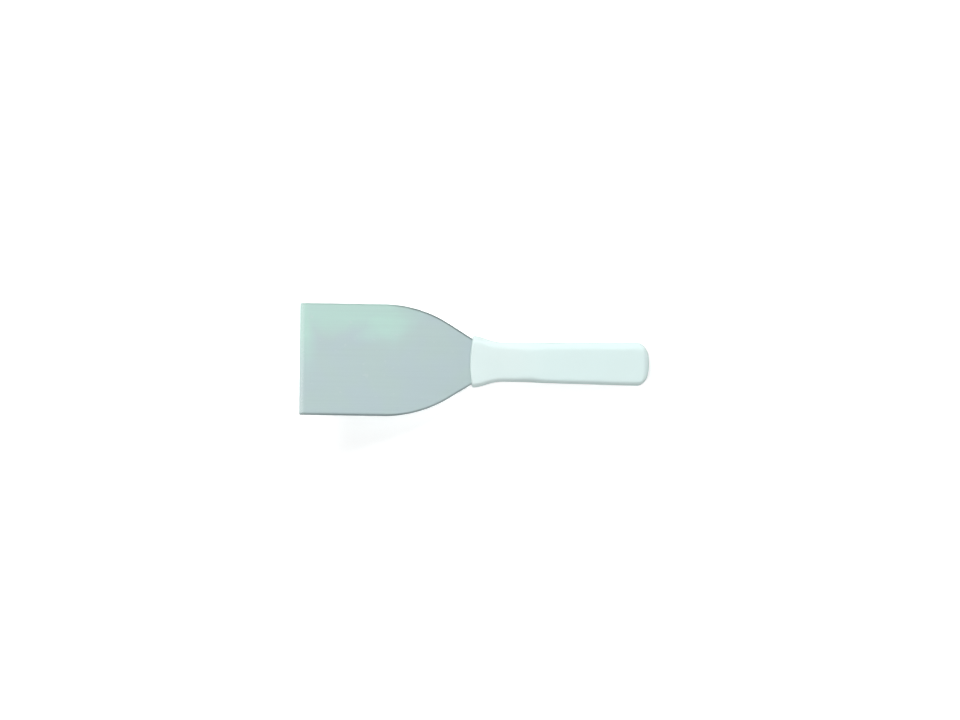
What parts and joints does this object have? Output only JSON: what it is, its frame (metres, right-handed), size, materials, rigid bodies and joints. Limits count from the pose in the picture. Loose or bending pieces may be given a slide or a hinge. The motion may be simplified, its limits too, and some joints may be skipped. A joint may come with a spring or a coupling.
{
  "type": "flexible putty knife",
  "caption": "Wide thin spring-steel blade with square corners and tapering shoulders, on a short waisted plastic handle moulded round its tang.",
  "frame": {"origin": "middle of the knife's box, on the plane of the handle's flat underside", "axes": "+X from the blade's working edge to the handle's butt, +Y across the blade, +Z out of the blade's face"},
  "size_m": [0.248, 0.08, 0.0165],
  "materials": {
    "handle_plastic": "satin moulded polypropylene",
    "blade_steel": "fine satin stainless sheet"
  },
  "bodies": {
    "grip": {"handle": "handle_plastic", "blade_tang": "blade_steel"},
    "blade_front": {"blade_panel": "blade_steel"}
  },
  "joints": [
    {"name": "blade_flex", "type": "hinge", "parent": "grip", "child": "blade_front", "pos_m": [-0.037, 0, 0.00825], "axis": [0, 1, 0], "range_deg": [-20, 20], "stiffness_Nm_per_rad": 4.23}
  ]
}
